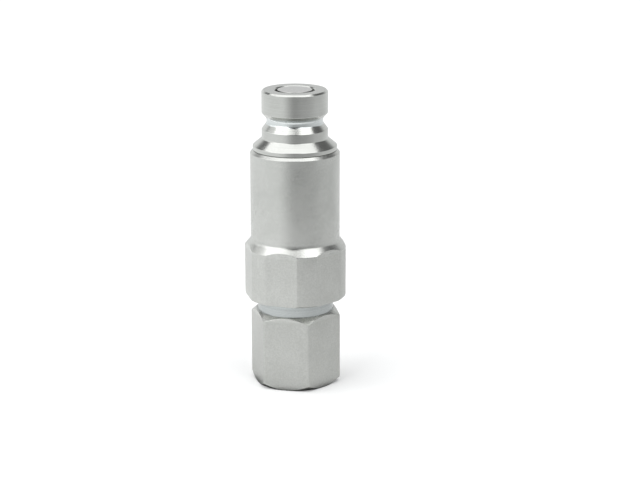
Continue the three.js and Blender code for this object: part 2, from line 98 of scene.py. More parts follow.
# Brightness of the light tent's wall at each azimuth. The tops are given as sines of the elevation.
TENT = ((-180, 0.76), (-150, 1.0), (-48, 1.0), (2, 0.43), (30, 0.5), (95, 0.72), (150, 0.84), (180, 0.76))
TENT_TOP = (0.3, 0.5)
ROOM_ABOVE = 0.2
SWEEP_TOP = (-0.5, -0.34)
SWEEP_BELOW = 0.95
BACKDROP = 1.1

LAMP_DISTANCE = 1.0
LAMP_AIM = Vector((0, 0, 0.06))
# Name, azimuth, elevation, width, height and radiance of each lamp.
LAMPS = (
    ("left_box", -55, 38, 0.95, 0.7, 1.8),
    ("right_box", 50, 46, 0.85, 0.6, 1.8),
    ("left_wash", -98, 34, 0.7, 0.6, 0.75),
    ("overhead", -160, 84, 1.25, 1.35, 1.5),
)


def towards(azimuth, elevation):
    """Unit vector from the object at an azimuth and an elevation in degrees."""
    a, e = math.radians(azimuth), math.radians(elevation)
    return Vector((math.sin(a) * math.cos(e), -math.cos(a) * math.cos(e), math.sin(e)))


CAMERA_RIGHT = towards(CAMERA_AZIMUTH + 90, 0)
CAMERA_AWAY = -towards(CAMERA_AZIMUTH, 0)


def aim(data, target, back, distance):
    """Object for a camera or lamp, at that distance from the target along back and facing it."""
    thing = bpy.data.objects.new(data.name, data)
    thing.location = target + back * distance
    thing.rotation_mode = "QUATERNION"
    thing.rotation_quaternion = (-back).to_track_quat("-Z", "Y")
    bpy.context.scene.collection.objects.link(thing)
    return thing


def add_camera():
    data = bpy.data.cameras.new("camera")
    data.sensor_width = 36
    data.lens = CAMERA_LENS
    data.clip_start, data.clip_end = 0.05, 20
    target = CAMERA_RIGHT * AIM_RIGHT + Vector((0, 0, AIM_HEIGHT))
    back = towards(CAMERA_AZIMUTH, CAMERA_ELEVATION)
    bpy.context.scene.camera = aim(data, target, back, CAMERA_DISTANCE)


# ---------------------------------------------------------------- meshes from outlines
POINT_MERGE = 1e-7  # metres
SHORTEST_EDGE = 1e-6  # millimetres


def rounded(corners, steps=4, closed=True):
    """Outline of (radius, height, fillet) corners with each fillet turned into a short arc.

    A support point sits just outside each end of an arc, so that smooth shading stays on the arc.
    Every corner gives the same number of points, even where an edge has shrunk to nothing."""
    most_of_edge, support, support_share = 0.45, 0.06, 0.04
    outline = []
    count = len(corners)
    for i, (r, z, fillet) in enumerate(corners):
        here = Vector((r, z))
        to_last = Vector(corners[(i - 1) % count][:2]) - here
        to_next = Vector(corners[(i + 1) % count][:2]) - here
        room_last, room_next = to_last.length, to_next.length
        if not closed and i in (0, count - 1):
            outline.append(here)
            continue
        if min(room_last, room_next) < SHORTEST_EDGE:
            outline += [here] * (steps + 3)
            continue
        to_last.normalize()
        to_next.normalize()
        half_angle = max(to_last.angle(to_next) / 2, 1e-4)
        reach = min(fillet / math.tan(half_angle), most_of_edge * room_last, most_of_edge * room_next)
        a, b = here + to_last * reach, here + to_next * reach
        outline.append(here + to_last * (reach + min(support, support_share * room_last)))
        for k in range(steps + 1):
            t = k / steps
            outline.append((1 - t) ** 2 * a + 2 * t * (1 - t) * here + t * t * b)
        outline.append(here + to_next * (reach + min(support, support_share * room_next)))
    return outline


def finish_mesh(name, mesh):
    """Smooth-shaded object from a mesh, with doubled points merged and its faces pointing out."""
    bm = bmesh.new()
    bm.from_mesh(mesh)
    bmesh.ops.remove_doubles(bm, verts=bm.verts, dist=POINT_MERGE)
    bmesh.ops.dissolve_degenerate(bm, edges=bm.edges, dist=POINT_MERGE)
    bmesh.ops.recalc_face_normals(bm, faces=bm.faces)
    if bm.calc_volume(signed=True) < 0:
        bmesh.ops.reverse_faces(bm, faces=bm.faces)
    for face in bm.faces:
        face.smooth = True
    bm.to_mesh(mesh)
    bm.free()
    piece = bpy.data.objects.new(name, mesh)
    bpy.context.scene.collection.objects.link(piece)
    return piece


def grid_mesh(name, rings, capped=False):
    """Closed surface through rings of points: the last ring joins the first, or both ends are capped."""
    count, size = len(rings), len(rings[0])
    faces = []
    for i in range(count - 1 if capped else count):
        j = (i + 1) % count
        for k in range(size):
            q = (k + 1) % size
            faces.append((i * size + k, j * size + k, j * size + q, i * size + q))
    if capped:
        faces.append(tuple(range(size)))
        faces.append(tuple((count - 1) * size + k for k in reversed(range(size))))
    mesh = bpy.data.meshes.new(name)
    mesh.from_pydata([point for ring in rings for point in ring], [], faces)
    return finish_mesh(name, mesh)


def around(angle, r, z):
    """Point in metres at an angle, a radius and a height."""
    return (r * math.cos(angle) * MM, r * math.sin(angle) * MM, z * MM)


def lathe(name, corners, segments=160, steps=4):
    """Piece turned about the axis from a closed outline; corners on the axis close it."""
    outline = rounded(corners, steps)
    angles = [TAU * i / segments for i in range(segments)]
    return grid_mesh(name, [[around(angle, max(p.x, 0), p.y) for p in outline] for angle in angles])


def wire_ring(angle, ring_r, wire_r, z, sides):
    """Points of a round section at one angle of a ring or a coil, as (angle, radius, height)."""
    turns = [TAU * k / sides for k in range(sides)]
    return [(angle, ring_r + wire_r * math.cos(a), z + wire_r * math.sin(a)) for a in turns]


def o_ring(name, node, section_r, segments=96, sides=20):
    """Round-section seal in the place of its CAD node."""
    low, high = ends(node)
    ring_r, z = outer_radius(node) - section_r, (low + high) / 2
    angles = [TAU * i / segments for i in range(segments)]
    return grid_mesh(name, [[around(*p) for p in wire_ring(a, ring_r, section_r, z, sides)] for a in angles])


def flat_ring(name, inner, outer, low, high, fillet=0.12):
    corners = [(inner, low, fillet), (outer, low, fillet), (outer, high, fillet), (inner, high, fillet)]
    return lathe(name, corners, 96, 3)


def collar(name, node, inner):
    """Plain flat ring in the place of its CAD node."""
    return flat_ring(name, inner, outer_radius(node), *ends(node))


def spring_mesh(name, coil_r, wire_r, bottom, top, turns):
    """Round-wire compression spring with a closed turn and a ground face at each end."""
    sides, rings_per_turn = 14, 40
    ground = 0.55 * wire_r
    low, high = bottom + wire_r - ground, top - wire_r + ground
    closed_pitch = 2 * wire_r + 0.12
    open_turns = turns - 2
    open_pitch = (high - low - 2 * closed_pitch) / open_turns
    steps = int(turns * rings_per_turn)
    rings = []
    for i in range(steps + 1):
        turn = turns * i / steps
        z = low + min(turn, 1) * closed_pitch
        z += min(max(turn - 1, 0), open_turns) * open_pitch
        z += max(turn - 1 - open_turns, 0) * closed_pitch
        section = wire_ring(TAU * turn, coil_r, wire_r, z, sides)
        rings.append([around(angle, r, min(max(height, bottom), top)) for angle, r, height in section])
    return grid_mesh(name, rings, capped=True)


# ---------------------------------------------------------------- hexagons and threads
def hex_angles(half_flats, turned_r, turn):
    """Angles round a turned hexagon, packed closer where a flat meets the turned corner."""
    edge, corner = math.acos(half_flats / turned_r), math.pi / 6
    across_flat = [edge * share for share in (0, 0.22, 0.44, 0.63, 0.78, 0.89)]
    at_edge = [edge + math.radians(d) for d in (-1.2, -0.8, -0.5, -0.25, 0, 0.25, 0.5, 0.8, 1.2)]
    to_corner = [edge + (corner - edge) * share for share in (0.3, 0.5, 0.75, 1)]
    one_side = sorted(set(across_flat + at_edge + to_corner))
    angles = []
    for flat in range(6):
        middle = FLAT_ZERO + turn + flat * TAU / 6
        angles += [middle - a for a in reversed(one_side[1:-1])]
        angles += [middle + a for a in one_side]
    return sorted(angles)


def hex_radius(angle, half_flats, turned_r, turn):
    """Distance from the axis to the hexagon, held at the turned corner radius with a soft change."""
    blend = 0.03
    off = (angle - FLAT_ZERO - turn + math.pi / 6) % (TAU / 6) - math.pi / 6
    flat_r = half_flats / math.cos(off)
    overlap = max(blend - abs(flat_r - turned_r), 0)
    return min(flat_r, turned_r) - overlap ** 2 / (4 * blend)


def port_thread(angle, mouth_r):
    """Right-hand 1/2 inch pipe thread from its top down to the mouth, at one angle."""
    pitch, crest_r, root_r = 1.814, 9.32, 10.45
    thread_top, rows = 14.7, 118
    flat_share = 0.14
    points = []
    for row in range(rows):
        z = thread_top * (1 - row / rows)
        turn = (z / pitch - angle / TAU) % 1
        flank = 1 - abs(2 * turn - 1)
        t = min(max((flank - flat_share) / (1 - 2 * flat_share), 0), 1)
        r = root_r + (crest_r - root_r) * t * t * (3 - 2 * t)
        points.append(Vector((max(r, mouth_r - z), z)))
    return points


# ---------------------------------------------------------------- joined and cut pieces
def merged(name, pieces, operation="UNION"):
    """First piece joined with, or cut by, the others; the others are used up."""
    first = pieces[0]
    for other in pieces[1:]:
        modifier = first.modifiers.new("join", "BOOLEAN")
        modifier.operation = operation
        modifier.solver = "EXACT"
        modifier.object = other
        bpy.context.view_layer.update()
        evaluated = first.evaluated_get(bpy.context.evaluated_depsgraph_get())
        mesh = bpy.data.meshes.new_from_object(evaluated)
        first.modifiers.clear()
        first.data = mesh
        bpy.data.objects.remove(other)
    first.name = name
    first.data.name = name
    return first


def block(name, low, high):
    """Rectangular web, lug or cutter of a larger piece."""
    (x0, y0, z0), (x1, y1, z1) = low, high
    corners = [(x, y, z) for z in (z0, z1) for y in (y0, y1) for x in (x0, x1)]
    faces = [(0, 2, 3, 1), (4, 5, 7, 6), (0, 1, 5, 4), (2, 6, 7, 3), (0, 4, 6, 2), (1, 3, 7, 5)]
    mesh = bpy.data.meshes.new(name)
    mesh.from_pydata([tuple(c * MM for c in corner) for corner in corners], [], faces)
    return finish_mesh(name, mesh)


def broken_edges(piece, width):
    """Rounds the sharp edges of a joined piece and keeps its flat faces looking flat."""
    for polygon in piece.data.polygons:
        polygon.use_smooth = True
    bevel = piece.modifiers.new("edge_break", "BEVEL")
    bevel.width = width * MM
    bevel.segments = 2
    bevel.limit_method = "ANGLE"
    bevel.angle_limit = math.radians(35)
    bevel.harden_normals = True
    normals = piece.modifiers.new("weighted", "WEIGHTED_NORMAL")
    normals.keep_sharp = True
    return piece


def spider(name, node, hub_bore, hub_r, rim_inner, rim_low, rim_high, webs):
    """Guide with a long hub, a rim and radial webs between them, in the place of its CAD node."""
    half_web, inset = 1, 0.01
    hub_low, hub_high = ends(node)
    rim_outer = outer_radius(node)
    rim = flat_ring("ring", rim_inner, rim_outer, rim_low, rim_high, 0.25)
    hub = lathe("hub", [
        (hub_bore, hub_low, 0.25),
        (hub_r, hub_low, 0.3),
        (hub_r, hub_high, 0.5),
        (hub_bore, hub_high, 0.25),
    ], 96)
    parts = [rim, hub]
    inner, outer = (hub_bore + hub_r) / 2, (rim_inner + rim_outer) / 2
    for i in range(webs):
        web = block("web", (inner, -half_web, rim_low + inset), (outer, half_web, rim_high - inset))
        web.data.transform(Matrix.Rotation(TAU * i / webs, 4, "Z"))
        parts.append(web)
    return broken_edges(merged(name, parts), 0.12)


# ---------------------------------------------------------------- housing
def nose_body(name, node):
    """Head, ball groove, collar and flange, over a spigot with a seal groove and the valve's bores."""
    bottom, top = ends(node)
    head_r, head_bottom, edge, mouth = 12.25, 103.5, 0.6, 0.35
    ball_groove_r, ball_groove_bottom, ball_groove_top = 10.4, 99.8, 101.4
    collar_bottom, collar_top = 94, 97.3
    flange_r, flange_top = outer_radius(node), 91.2
    joint_line = 0.06
    flange_seat = ends("barrel_body")[1] + joint_line
    seal_groove_r, seal_groove_bottom, seal_groove_top = INSERT_R - SEAL_GROOVE_DEPTH, 85.2, 88.8
    guide_bore_r, guide_bore_top = outer_radius("front_guide") + CLEARANCE, 76
    spring_bore_r, spring_bore_top = 9.8, 97
    valve_bore_r, valve_bore_bottom, valve_bore_top = 8.6, 98.6, 105.3
    land_bottom = 106.7
    return lathe(name, [
        (NOSE_BORE_R, top - mouth, 0.1),
        (NOSE_BORE_R + mouth, top, 0.1),
        (head_r - edge, top, 0.12),
        (head_r, top - edge, 0.2),
        (head_r, head_bottom, 0.3),
        (ball_groove_r, ball_groove_top, 4),
        (ball_groove_r, ball_groove_bottom, 3),
        (head_r, collar_top, 0.5),
        (head_r, collar_bottom, 0.5),
        (flange_r, flange_top, 0.3),
        (flange_r, flange_seat + 0.24, 0.1),
        (flange_r - 0.22, flange_seat, 0.1),
        (INSERT_R, flange_seat, 0.1),
        (INSERT_R, seal_groove_top, 0.1),
        (seal_groove_r, seal_groove_top, 0.25),
        (seal_groove_r, seal_groove_bottom, 0.25),
        (INSERT_R, seal_groove_bottom, 0.1),
        (INSERT_R, bottom + 0.3, 0.15),
        (INSERT_R - 0.3, bottom, 0.1),
        (guide_bore_r, bottom, 0.1),
        (guide_bore_r, guide_bore_top, 0.2),
        (spring_bore_r, guide_bore_top, 0.2),
        (spring_bore_r, spring_bore_top, 0.6),
        (valve_bore_r, valve_bore_bottom, 0.4),
        (valve_bore_r, valve_bore_top, 0.3),
        (NOSE_BORE_R, land_bottom, 0.15),
    ], 192, 8)


def barrel_body(name, node):
    """Smooth barrel and upper hexagon, bored from both ends up to the ledge that carries the seat."""
    bottom, top = ends(node)
    barrel_r, shoulder_top, shoulder_drop = 16.6, 55.8, 2.9
    least_foot, corner_foot = 0.15, 0.5
    ledge_r, ledge_bottom, ledge_top = 11.5, 50.5, 64.2
    inside = [
        (ADAPTER_BORE_R + 0.3, bottom, 0.1),
        (ADAPTER_BORE_R, bottom + 0.3, 0.1),
        (ADAPTER_BORE_R, ledge_bottom, 0.1),
        (ledge_r, ledge_bottom, 0.15),
        (ledge_r, ledge_top, 0.15),
        (BARREL_BORE_R, ledge_top, 0.1),
        (BARREL_BORE_R, top - 0.2, 0.1),
    ]
    rings = []
    for angle in hex_angles(UPPER_HEX_HALF, UPPER_HEX_R, 0):
        h = hex_radius(angle, UPPER_HEX_HALF, UPPER_HEX_R, 0)
        shoulder_z = shoulder_top - (h - barrel_r) / (UPPER_HEX_R - barrel_r) * shoulder_drop
        foot = max(least_foot, h - UPPER_HEX_R + corner_foot)
        outline = rounded([
            (BARREL_BORE_R + 0.2, top, 0.1),
            (barrel_r - 1, top, 0.12),
            (barrel_r, top - 1, 0.25),
            (barrel_r, shoulder_top, 2.2),
            (h, shoulder_z, 0.3),
            (h, bottom + foot, 0.12),
            (h - foot, bottom, 0.12),
        ] + inside)
        rings.append([around(angle, p.x, p.y) for p in outline])
    return grid_mesh(name, rings)


def end_adapter(name, node):
    """Pipe port, lower hexagon and neck, over a spigot with a seal groove and the circlip's groove."""
    top = ends(node)[1]
    port_mouth_r, face_r, base_chamfer = 10.75, 14.9, 2
    chamfer_r, chamfer_drop = 14.7, 2.2
    neck_r, neck_top, relief_r = 14.2, 33.3, 12.7
    spigot_r, spigot_bottom = ADAPTER_BORE_R - CLEARANCE, 35.6
    seal_groove_r, seal_groove_bottom, seal_groove_top = spigot_r - SEAL_GROOVE_DEPTH, 43.5, 47.5
    guide_bore_r, guide_seat = outer_radius("rear_guide") + CLEARANCE, 31
    clip_groove_bottom, clip_groove_top = 36.3, 37.9
    clip_groove_r, passage_r, passage_bottom = 10.4, 8, 17.6
    thread_relief_r, thread_relief_bottom, thread_relief_top = 10.6, 15, 17
    neck_and_bores = [
        (chamfer_r, LOWER_HEX_TOP, 0.25),
        (neck_r, LOWER_HEX_TOP, 0.15),
        (neck_r, neck_top, 0.15),
        (relief_r, neck_top, 0.1),
        (relief_r, spigot_bottom - 0.5, 0.3),
        (spigot_r, spigot_bottom, 0.1),
        (spigot_r, seal_groove_bottom, 0.1),
        (seal_groove_r, seal_groove_bottom, 0.2),
        (seal_groove_r, seal_groove_top, 0.2),
        (spigot_r, seal_groove_top, 0.1),
        (spigot_r, top - 0.5, 0.15),
        (spigot_r - 0.5, top, 0.15),
        (guide_bore_r + 0.3, top, 0.1),
        (guide_bore_r, top - 0.3, 0.1),
        (guide_bore_r, clip_groove_top, 0.1),
        (clip_groove_r, clip_groove_top, 0.1),
        (clip_groove_r, clip_groove_bottom, 0.1),
        (guide_bore_r, clip_groove_bottom, 0.1),
        (guide_bore_r, guide_seat, 0.15),
        (passage_r, guide_seat, 0.15),
        (passage_r, passage_bottom, 0.3),
        (thread_relief_r, thread_relief_top, 0.2),
        (thread_relief_r, thread_relief_bottom, 0.15),
    ]
    rings = []
    for angle in hex_angles(LOWER_HEX_HALF, LOWER_HEX_R, LOWER_HEX_TURN):
        h = hex_radius(angle, LOWER_HEX_HALF, LOWER_HEX_R, LOWER_HEX_TURN)
        outline = rounded([
            (port_mouth_r, 0, 0.08),
            (face_r, 0, 0.2),
            (h, (h - face_r) / (LOWER_HEX_R - face_r) * base_chamfer, 0.2),
            (h, LOWER_HEX_TOP - (h - chamfer_r) / (LOWER_HEX_R - chamfer_r) * chamfer_drop, 0.3),
        ] + neck_and_bores, closed=False)
        outline += port_thread(angle, port_mouth_r)
        rings.append([around(angle, p.x, p.y) for p in outline])
    return grid_mesh(name, rings)


# ---------------------------------------------------------------- valves and the circlip
def front_poppet(name, node):
    """Face flush with the nose, sliding land, seal groove, spring flange and stem."""
    bottom, top = ends(node)
    face_r, land_r = 6.4, NOSE_BORE_R - CLEARANCE
    face_relief, land_top, land_bottom = top - 2, top - 2.3, 106.8
    seal_groove_r, stem_r = 5.45, 2.6
    flange_r, flange_bottom, flange_top = outer_radius(node), 101.5, 103.3
    spring_pilot_r, spring_pilot_bottom = 5.2, 99.9
    return lathe(name, [
        (0, top, 0),
        (face_r, top, 0.1),
        (face_r, face_relief, 0.1),
        (land_r, land_top, 0.1),
        (land_r, land_bottom, 0.15),
        (seal_groove_r, land_bottom, 0.2),
        (seal_groove_r, flange_top, 0.2),
        (flange_r, flange_top, 0.12),
        (flange_r, flange_bottom, 0.2),
        (spring_pilot_r, flange_bottom, 0.2),
        (spring_pilot_r, spring_pilot_bottom, 0.2),
        (stem_r, spring_pilot_bottom - 0.8, 0.5),
        (stem_r, bottom + 0.4, 0.1),
        (stem_r - 0.4, bottom, 0.1),
        (0, bottom, 0),
    ])


def seat_ring(name, node):
    """Check valve seat with a cone below and an O-ring groove round it."""
    bottom, top = ends(node)
    orifice_r, orifice_bottom, orifice_top = 6.3, 66, 68.9
    cone_r, inlet_r = 7.9, 8.3
    groove_r, groove_bottom, groove_top = INSERT_R - SEAL_GROOVE_DEPTH, 66.3, 68.9
    return lathe(name, [
        (orifice_r, orifice_bottom, 0.1),
        (cone_r, bottom, 0.1),
        (INSERT_R, bottom, 0.15),
        (INSERT_R, groove_bottom, 0.1),
        (groove_r, groove_bottom, 0.2),
        (groove_r, groove_top, 0.2),
        (INSERT_R, groove_top, 0.1),
        (INSERT_R, top, 0.15),
        (inlet_r, top, 0.15),
        (orifice_r, orifice_top, 0.3),
    ], 128)


def check_poppet(name, node):
    """Hollow poppet: nose with a pin hole, seal shaft, flange, spring pilot and guided tail."""
    bottom, top = ends(node)
    nose_r, tail_r = 4, 3.7
    pin_hole_r, pin_hole_bottom, bore_r = 1.3, 66.5, 2.5
    seal_shaft_r, seal_shaft_top = 4.7, 65.3
    flange_r, flange_bottom, flange_top = outer_radius(node), 60.5, 62.8
    spring_pilot_r, spring_pilot_bottom = 5.2, 59.4
    return lathe(name, [
        (pin_hole_r, top, 0.1),
        (nose_r - 0.5, top, 0.15),
        (nose_r, top - 0.5, 0.15),
        (nose_r, seal_shaft_top, 0.1),
        (seal_shaft_r, seal_shaft_top, 0.1),
        (seal_shaft_r, flange_top, 0.15),
        (flange_r, flange_top, 0.15),
        (flange_r, flange_bottom + 1, 0.2),
        (flange_r - 0.8, flange_bottom, 0.15),
        (spring_pilot_r, flange_bottom, 0.15),
        (spring_pilot_r, spring_pilot_bottom, 0.2),
        (tail_r, spring_pilot_bottom - 0.8, 0.4),
        (tail_r, bottom, 0.2),
        (bore_r, bottom, 0.15),
        (bore_r, pin_hole_bottom, 0.15),
        (pin_hole_r, pin_hole_bottom, 0.08),
    ], 112)


def relief_pin(name, node):
    """Pin with a rounded tip and a flange that closes on its seal."""
    bottom, top = ends(node)
    pin_r, flange_bottom, flange_top = 1, 63.2, 64.95
    flange_r = outer_radius(node)
    return lathe(name, [
        (0, top, 0),
        (pin_r - 0.25, top, 0.2),
        (pin_r, top - 0.3, 0.1),
        (pin_r, flange_top, 0.1),
        (flange_r, flange_top, 0.12),
        (flange_r, flange_bottom, 0.12),
        (pin_r, flange_bottom, 0.1),
        (pin_r, bottom, 0.2),
        (0, bottom, 0),
    ], 64)


def retaining_ring(name, node):
    """Internal circlip: an open ring with a pierced lug beside each side of the gap."""
    low, high = ends(node)
    inner_r, outer_r = 8.9, 10.1
    half_gap, gap_start, gap_end = 2.5, 6.5, 12.5
    lug_start, lug_end, lug_side, half_lug, inset = 7.45, 9.35, 3.4, 0.95, 0.01
    hole_x, hole_r, over = 8.35, 0.45, 1
    ring = flat_ring(name, inner_r, outer_r, low, high, 0.1)
    gap = block("gap", (gap_start, -half_gap, low - over), (gap_end, half_gap, high + over))
    ring = merged(name, [ring, gap], "DIFFERENCE")
    lugs, holes = [], []
    for y in (-lug_side, lug_side):
        near, far = (lug_start, y - half_lug, low + inset), (lug_end, y + half_lug, high - inset)
        lugs.append(block("lug", near, far))
        hole = lathe("hole", [
            (0, low - over, 0),
            (hole_r, low - over, 0),
            (hole_r, high + over, 0),
            (0, high + over, 0),
        ], 24, 1)
        hole.data.transform(Matrix.Translation((hole_x * MM, y * MM, 0)))
        holes.append(hole)
    ring = merged(name, [ring] + lugs)
    return broken_edges(merged(name, [ring] + holes, "DIFFERENCE"), 0.08)


# ---------------------------------------------------------------- shader nodes
# Places of a colour Mix node's sockets, which share their names with its number sockets.
MIX_FACTOR, MIX_A, MIX_B, MIX_RESULT = 0, 6, 7, 2


class Nodes:
    """Short calls that add nodes to one shader tree."""

    def __init__(self, tree):
        self.tree = tree

    def add(self, kind):
        return self.tree.nodes.new("ShaderNode" + kind)

    def feed(self, socket, value):
        """Links a node's output to the socket, or sets a plain value on it."""
        if isinstance(value, bpy.types.NodeSocket):
            self.tree.links.new(value, socket)
        else:
            socket.default_value = value

    def math(self, operation, a, b=None):
        node = self.add("Math")
        node.operation = operation
        self.feed(node.inputs[0], a)
        if b is not None:
            self.feed(node.inputs[1], b)
        return node.outputs[0]

    def swing(self, value, amount):
        """A 0 to 1 value as a change round zero, amount wide."""
        return self.math("MULTIPLY", self.math("SUBTRACT", value, 0.5), amount)

    def dot(self, vector, direction):
        node = self.add("VectorMath")
        node.operation = "DOT_PRODUCT"
        self.feed(node.inputs[0], vector)
        self.feed(node.inputs[1], direction)
        return node.outputs["Value"]

    def combine(self, x, y, z):
        node = self.add("CombineXYZ")
        for socket, value in zip(node.inputs, (x, y, z)):
            self.feed(socket, value)
        return node.outputs[0]

    def position(self):
        """Object coordinates in mm, split into x, y and z."""
        scale = self.add("VectorMath")
        scale.operation = "SCALE"
        self.feed(scale.inputs[0], self.add("TexCoord").outputs["Object"])
        self.feed(scale.inputs["Scale"], 1 / MM)
        split = self.add("SeparateXYZ")
        self.feed(split.inputs[0], scale.outputs[0])
        return split.outputs[0], split.outputs[1], split.outputs[2]

    def from_axis(self, x, y):
        """Distance from the coupler's axis."""
        return self.math("SQRT", self.math("ADD", self.math("MULTIPLY", x, x), self.math("MULTIPLY", y, y)))

    def noise(self, vector, scale, detail=3, roughness=0.55):
        node = self.add("TexNoise")
        self.feed(node.inputs["Vector"], vector)
        self.feed(node.inputs["Scale"], scale)
        self.feed(node.inputs["Detail"], detail)
        self.feed(node.inputs["Roughness"], roughness)
        return node.outputs[0]

    def remap(self, value, over=(0, 1), to=(0, 1), smooth=False):
        """Value's way over one range as the same way along another, held at both ends."""
        node = self.add("MapRange")
        if smooth:
            node.interpolation_type = "SMOOTHSTEP"
        self.feed(node.inputs["Value"], value)
        self.feed(node.inputs["From Min"], over[0])
        self.feed(node.inputs["From Max"], over[1])
        self.feed(node.inputs["To Min"], to[0])
        self.feed(node.inputs["To Max"], to[1])
        return node.outputs[0]

    def ramp(self, value, stops):
        """Grey level that follows value, smoothly through (position, level) stops."""
        node = self.add("ValToRGB")
        node.color_ramp.interpolation = "EASE"
        elements = node.color_ramp.elements
        while len(elements) < len(stops):
            elements.new(0.5)
        for element, (position, level) in zip(elements, stops):
            element.position = position
            element.color = (level, level, level, 1)
        self.feed(node.inputs[0], value)
        return node.outputs[0]

    def mix(self, factor, a, b):
        node = self.add("Mix")
        node.data_type = "RGBA"
        self.feed(node.inputs[MIX_FACTOR], factor)
        self.feed(node.inputs[MIX_A], a)
        self.feed(node.inputs[MIX_B], b)
        return node.outputs[MIX_RESULT]

    def mix_shaders(self, factor, a, b):
        node = self.add("MixShader")
        for socket, value in zip(node.inputs, (factor, a.outputs[0], b.outputs[0])):
            self.feed(socket, value)
        return node

    def for_camera(self, others, camera):
        """One shader for camera rays and another for all other rays."""
        return self.mix_shaders(self.add("LightPath").outputs["Is Camera Ray"], others, camera)


class MaterialNodes(Nodes):
    """Nodes of a new material, whose Principled shader is its surface."""

    def __init__(self, name):
        self.material = bpy.data.materials.new(name)
        self.material.use_nodes = True
        super().__init__(self.material.node_tree)
        self.tree.nodes.clear()
        self.output = self.add("OutputMaterial")
        self.shader = self.add("BsdfPrincipled")
        self.surface(self.shader)

    def surface(self, shader):
        self.feed(self.output.inputs["Surface"], shader.outputs[0])

    def set(self, socket, value):
        self.feed(self.shader.inputs[socket], value)

    def bump(self, height, depth, normal=None):
        """Relief of that depth in mm, added to an earlier relief's normal."""
        node = self.add("Bump")
        self.feed(node.inputs["Strength"], 1)
        self.feed(node.inputs["Distance"], depth * MM)
        self.feed(node.inputs["Height"], height)
        if normal is not None:
            self.feed(node.inputs["Normal"], normal)
        return node.outputs[0]


# ---------------------------------------------------------------- materials
# Depths of the steel's relief, mm.
LINE_DEPTH, FINE_LINE_DEPTH, GRAIN_DEPTH, MILLED_DEPTH = 0.008, 0.002, 0.0015, 0.012


def turned_steel(name, light, dark, roughness, nut_top=None, painted_light=None):
    """Steel with fine turning lines round the axis.

    Below nut_top it is milled and grainy instead. A band given as (bottom, top, tint) gets a banded tint
    that paints in reflected light and shade."""
    n = MaterialNodes(name)
    x, y, z = n.position()
    place, radius = n.combine(x, y, z), n.from_axis(x, y)
    feed_z = n.math("ADD", z, n.math("MULTIPLY", n.noise(place, 0.12, 1), 0.06))
    along = n.combine(radius, 0.0, feed_z)
    lines = n.noise(along, 5.0, 4, 0.6)
    fine_lines = n.noise(n.combine(n.math("MULTIPLY", radius, 1.7), 3.0, feed_z), 20.0, 2, 0.6)
    grain = n.noise(place, 9.0, 3, 0.65)
    speckle = n.noise(place, 1.6, 4, 0.7)
    clouds = n.noise(place, 0.11, 3, 0.5)
    milled = 0.0 if nut_top is None else n.remap(z, over=(nut_top - 0.6, nut_top + 0.2), to=(1, 0))
    turned = n.math("SUBTRACT", 1.0, milled)

    line_tone = n.swing(lines, n.math("MULTIPLY", turned, 1.1))
    speckle_tone = n.swing(speckle, n.math("ADD", n.math("MULTIPLY", milled, 1.5), 0.25))
    middle = n.math("SUBTRACT", 0.5, n.math("MULTIPLY", milled, 0.13))
    tone = n.math("ADD", line_tone, speckle_tone)
    tone = n.math("ADD", tone, n.math("ADD", n.swing(clouds, 0.8), middle))
    colour = n.mix(n.remap(tone, over=(0.15, 0.85)), dark, light)
    # Painted reflected light and shade between two heights, as in the ball groove and on the neck.
    if painted_light is not None:
        colour = painted_light_colour(n, colour, along, z, *painted_light)
    n.set("Base Color", colour)
    n.set("Metallic", 1)

    rough = n.math("ADD", n.math("MULTIPLY", grain, 0.5), n.math("MULTIPLY", clouds, 0.5))
    rough = n.remap(rough, over=(0.3, 0.7), to=(roughness - 0.04, roughness + 0.04))
    n.set("Roughness", n.math("ADD", rough, n.math("MULTIPLY", milled, 0.1)))

    normal = n.bump(n.math("MULTIPLY", lines, turned), LINE_DEPTH)
    normal = n.bump(n.math("MULTIPLY", fine_lines, turned), FINE_LINE_DEPTH, normal)
    normal = n.bump(n.math("MULTIPLY", speckle, milled), MILLED_DEPTH, normal)
    n.set("Normal", n.bump(grain, GRAIN_DEPTH, normal))
    return n.material


def painted_light_colour(n, colour, along, z, bottom, top, tint):
    """The colour, with a banded tint of painted reflected light and shade between two heights."""
    soft, shade = 0.15, 0.8
    above = n.remap(z, over=(bottom - soft, bottom + soft))
    below = n.remap(z, over=(top - soft, top + soft), to=(1, 0))
    bands = n.remap(n.noise(along, 1.1, 3, 0.6), over=(0.3, 0.7))
    shaded = tuple(shade * channel for channel in tint[:3]) + (1,)
    return n.mix(n.math("MULTIPLY", above, below), colour, n.mix(bands, shaded, tint))


def wire_steel(name):
    """Drawn wire, with streaks that run round the coil."""
    n = MaterialNodes(name)
    x, y, z = (n.math("MULTIPLY", c, scale) for c, scale in zip(n.position(), (0.4, 0.4, 6)))
    streaks = n.noise(n.combine(x, y, z), 3, 3)
    n.set("Base Color", n.mix(streaks, (0.20, 0.21, 0.22, 1), (0.38, 0.38, 0.39, 1)))
    n.set("Roughness", n.remap(streaks, to=(0.3, 0.45)))
    n.set("Metallic", 1)
    n.set("Normal", n.bump(streaks, 0.004))
    return n.material


def moulded_rubber(name):
    """Matt black rubber with a fine grain and a faint bloom."""
    n = MaterialNodes(name)
    place = n.combine(*n.position())
    grain = n.noise(place, 6, 4, 0.7)
    bloom = n.noise(place, 0.5, 2)
    n.set("Base Color", n.mix(bloom, (0.009, 0.009, 0.010, 1), (0.022, 0.022, 0.023, 1)))
    n.set("Roughness", n.remap(grain, to=(0.55, 0.8)))
    n.set("Normal", n.bump(grain, 0.01))
    return n.material


